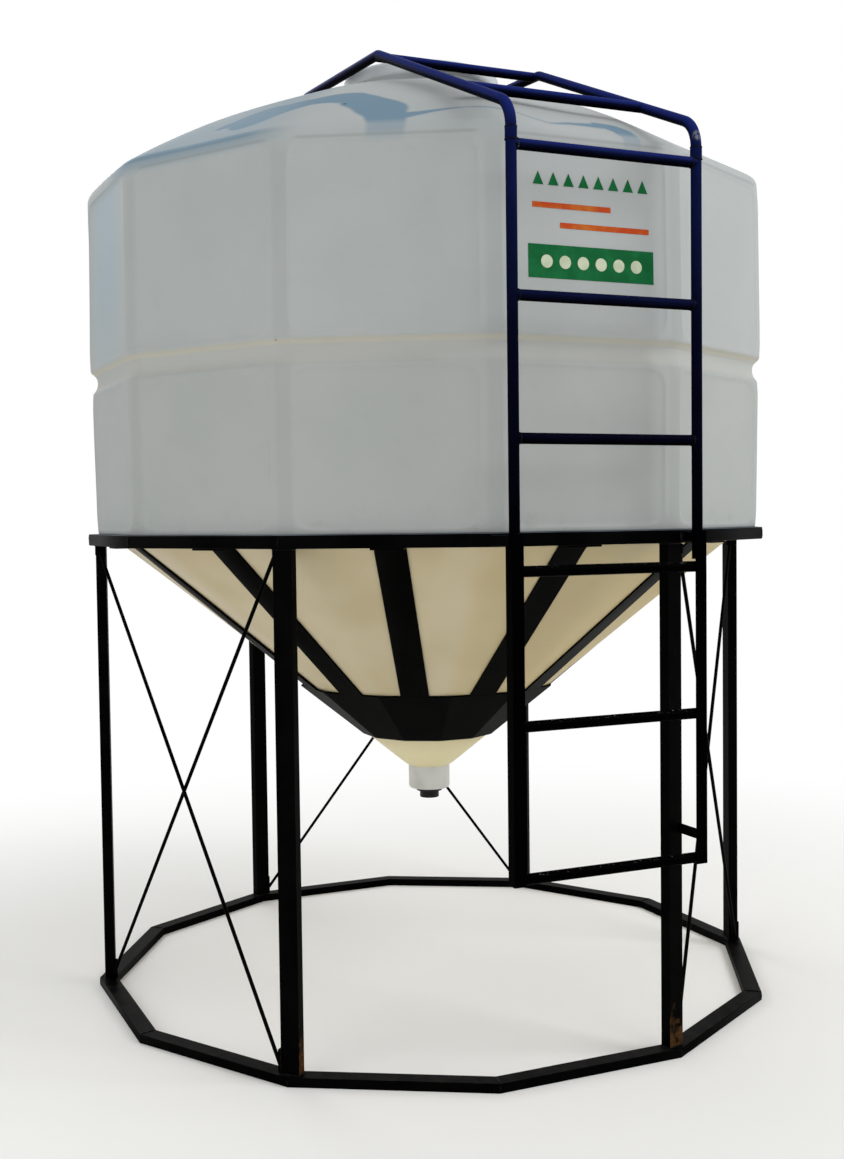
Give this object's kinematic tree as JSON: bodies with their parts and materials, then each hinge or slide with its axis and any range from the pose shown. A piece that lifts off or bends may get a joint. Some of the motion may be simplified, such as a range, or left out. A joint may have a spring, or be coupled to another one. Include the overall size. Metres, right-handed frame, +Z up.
{
  "type": "plastic hopper silo",
  "caption": "Twelve-sided moulded plastic silo with a conical hopper, on a painted steel frame with legs, crossed rods, hopper straps, and a ladder with guard rails over the domed roof.",
  "frame": {"origin": "on the ground, on the tank's vertical axis, in the middle of the base ring's underside", "axes": "+Z up along the tank's axis; -Y towards the ladder, square to the flat side that it stands before; +X to the right of somebody facing the ladder"},
  "size_m": [2.3336, 2.4518, 3.262],
  "materials": {
    "tank_plastic": "satin",
    "hopper_plastic": "satin",
    "hatch_plastic": "satin",
    "fitting_plastic": "satin",
    "frame_paint": "semi-gloss",
    "ladder_paint": "semi-gloss"
  },
  "bodies": {
    "root": {"base_ring": "frame_paint", "brace_left": "frame_paint", "brace_rear": "frame_paint", "brace_right": "frame_paint", "guard_cross_bars": "ladder_paint", "guard_level_rails": "ladder_paint", "guard_sloping_rails": "ladder_paint", "hatch_lid": "hatch_plastic", "hatch_neck": "hatch_plastic", "hopper_collar_a": "frame_paint", "hopper_collar_b": "frame_paint", "hopper_panels_a": "hopper_plastic", "hopper_panels_b": "hopper_plastic", "hopper_spout": "hopper_plastic", "hopper_straps": "frame_paint", "ladder_angles": "frame_paint", "ladder_leg_bracket": "frame_paint", "ladder_lower_rungs": "frame_paint", "ladder_ring_brackets": "frame_paint", "ladder_stiles": "ladder_paint", "ladder_upper_rungs": "ladder_paint", "leg_1": "frame_paint", "leg_2": "frame_paint", "leg_3": "frame_paint", "leg_4": "frame_paint", "leg_5": "frame_paint", "leg_6": "frame_paint", "outlet_fitting": "fitting_plastic", "roof_panels_a": "tank_plastic", "roof_panels_b": "tank_plastic", "tank_wall_01": "tank_plastic", "tank_wall_02": "tank_plastic", "tank_wall_03": "tank_plastic", "tank_wall_04": "tank_plastic", "tank_wall_05": "tank_plastic", "tank_wall_06": "tank_plastic", "tank_wall_07": "tank_plastic", "tank_wall_08": "tank_plastic", "tank_wall_09": "tank_plastic", "tank_wall_10": "tank_plastic", "tank_wall_11": "tank_plastic", "tank_wall_12": "tank_plastic", "top_ring": "frame_paint"}
  },
  "joints": []
}
